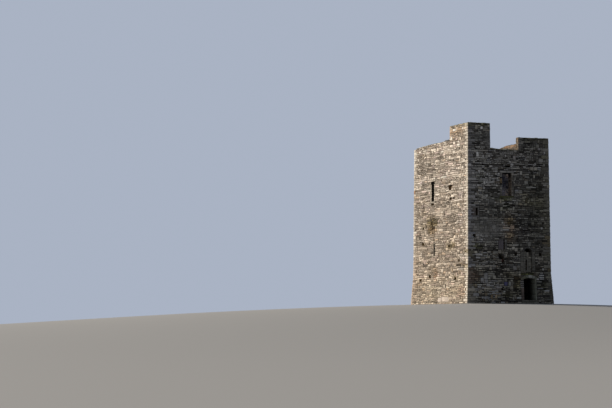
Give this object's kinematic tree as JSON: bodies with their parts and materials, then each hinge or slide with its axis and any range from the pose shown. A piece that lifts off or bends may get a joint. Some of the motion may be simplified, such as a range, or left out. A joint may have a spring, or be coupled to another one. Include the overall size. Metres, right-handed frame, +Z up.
{
  "type": "ruined stone tower house",
  "caption": "Tall rectangular castle keep of rubble stone with a low arched doorway, narrow loops, a vaulted storey, a raised corner turret and ruined parapets.",
  "frame": {"origin": "centre of the ground plan, at the level of the lowest ground the walls reach", "axes": "+Z up, -Y the front with the doorway, -X the long left wall"},
  "size_m": [8, 11.3, 14.95],
  "materials": {
    "rubble_masonry": "roughly coursed limestone rubble in lime mortar, weathered grey with lichen",
    "sunlit_rubble": "roughly coursed limestone rubble in lime mortar, weathered buff with lichen",
    "dressed_stone": "roughly squared pale limestone",
    "inner_rubble": "rough rubble with wide mortar joints",
    "flagstones": "uneven flagstones, mossy",
    "dark_slate": "dark slaty slab",
    "oak_beams": "grey weathered oak",
    "oak_boards": "grey weathered oak boards"
  },
  "bodies": {
    "root": {"ground_wall_front_left": "rubble_masonry", "ground_wall_front_right": "rubble_masonry", "ground_wall_left": "sunlit_rubble", "ground_wall_right": "rubble_masonry", "ground_wall_back": "rubble_masonry", "door_threshold": "dressed_stone", "door_jamb_left": "dressed_stone", "door_jamb_right": "dressed_stone", "door_arch_left": "dressed_stone", "door_arch_right": "dressed_stone", "ground_floor": "flagstones", "first_wall_front": "rubble_masonry", "first_wall_left": "sunlit_rubble", "first_wall_right": "rubble_masonry", "first_wall_back": "rubble_masonry", "blocked_window_arch": "dressed_stone", "blocked_window_infill": "inner_rubble", "first_floor_beams": "oak_beams", "first_floor_boards": "oak_boards", "vault": "inner_rubble", "second_floor_paving": "flagstones", "second_wall_front": "rubble_masonry", "second_wall_left": "sunlit_rubble", "second_wall_right": "rubble_masonry", "second_wall_back": "rubble_masonry", "third_floor_beams": "oak_beams", "third_floor_boards": "oak_boards", "third_wall_front": "rubble_masonry", "third_wall_left": "sunlit_rubble", "third_wall_right": "rubble_masonry", "third_wall_back": "rubble_masonry", "window_lintels": "dressed_stone", "window_sills": "dressed_stone", "wall_walk": "flagstones", "parapet_front_low": "rubble_masonry", "parapet_front_right": "rubble_masonry", "parapet_left": "sunlit_rubble", "parapet_right": "rubble_masonry", "parapet_back": "rubble_masonry", "turret_wall_front": "rubble_masonry", "turret_wall_left": "sunlit_rubble", "turret_wall_right": "rubble_masonry", "turret_wall_back": "rubble_masonry", "turret_squinch": "inner_rubble", "coping_slab": "dark_slate"}
  },
  "joints": []
}
